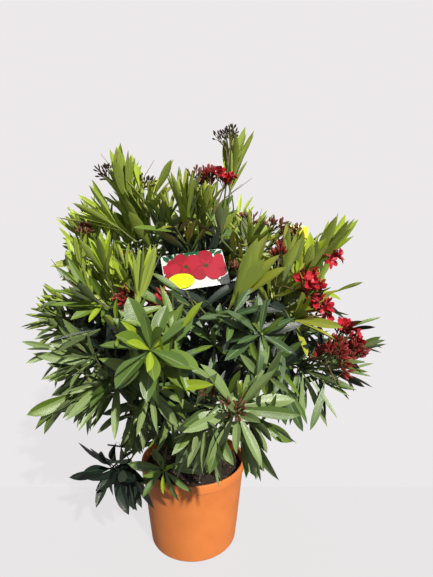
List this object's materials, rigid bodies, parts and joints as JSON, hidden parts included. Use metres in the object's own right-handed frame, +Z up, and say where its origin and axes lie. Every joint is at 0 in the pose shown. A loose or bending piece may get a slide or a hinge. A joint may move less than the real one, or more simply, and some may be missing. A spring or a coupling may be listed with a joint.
{
  "type": "potted oleander shrub",
  "caption": "Bushy evergreen oleander shrub with whorled narrow leaves and red flower clusters, in a round terracotta-coloured nursery pot with hanging plant labels.",
  "frame": {"origin": "middle of the flat underside of the pot", "axes": "+Z up, -Y towards the plant's front, where the large label hangs, +X to the right seen from the front"},
  "size_m": [0.8047, 0.8226, 0.9406],
  "materials": {
    "pot": "satin moulded plastic, terracotta orange",
    "compost": "moist dark potting compost, rough",
    "bark": "smooth grey-brown bark, greener on young limbs",
    "foliage": "leathery green leaves, dark red buds and crimson flowers",
    "label": "printed glossy plastic card"
  },
  "bodies": {
    "root": {"bough_back_left": "bark", "bough_back_left_low": "bark", "bough_back_middle": "bark", "bough_back_right": "bark", "bough_back_right_low": "bark", "bough_back_top": "bark", "bough_centre": "bark", "bough_front_low": "bark", "bough_front_rosette": "bark", "bough_high_centre": "bark", "bough_high_left": "bark", "bough_high_right": "bark", "bough_leader": "bark", "bough_left_edge": "bark", "bough_left_hanging": "bark", "bough_left_low": "bark", "bough_left_shoulder": "bark", "bough_middle_right": "bark", "bough_pot_front": "bark", "bough_pot_left": "bark", "bough_right_front": "bark", "bough_right_low": "bark", "bough_right_shoulder": "bark", "bough_upper_left": "bark", "cane_back_left": "bark", "cane_back_right": "bark", "cane_front": "bark", "cane_high": "bark", "cane_left": "bark", "cane_right": "bark", "label_picture": "label", "label_yellow": "label", "mass_back_left": "foliage", "mass_back_left_low": "foliage", "mass_back_middle": "foliage", "mass_back_right": "foliage", "mass_back_right_low": "foliage", "mass_back_top": "foliage", "mass_centre": "foliage", "mass_front_low": "foliage", "mass_front_rosette": "foliage", "mass_high_centre": "foliage", "mass_high_left": "foliage", "mass_high_right": "foliage", "mass_leader": "foliage", "mass_left_edge": "foliage", "mass_left_hanging": "foliage", "mass_left_low": "foliage", "mass_left_shoulder": "foliage", "mass_middle_right": "foliage", "mass_pot_front": "foliage", "mass_pot_left": "foliage", "mass_right_front": "foliage", "mass_right_low": "foliage", "mass_right_shoulder": "foliage", "mass_upper_left": "foliage", "pot": "pot", "soil": "compost", "trunk": "bark"}
  },
  "joints": []
}
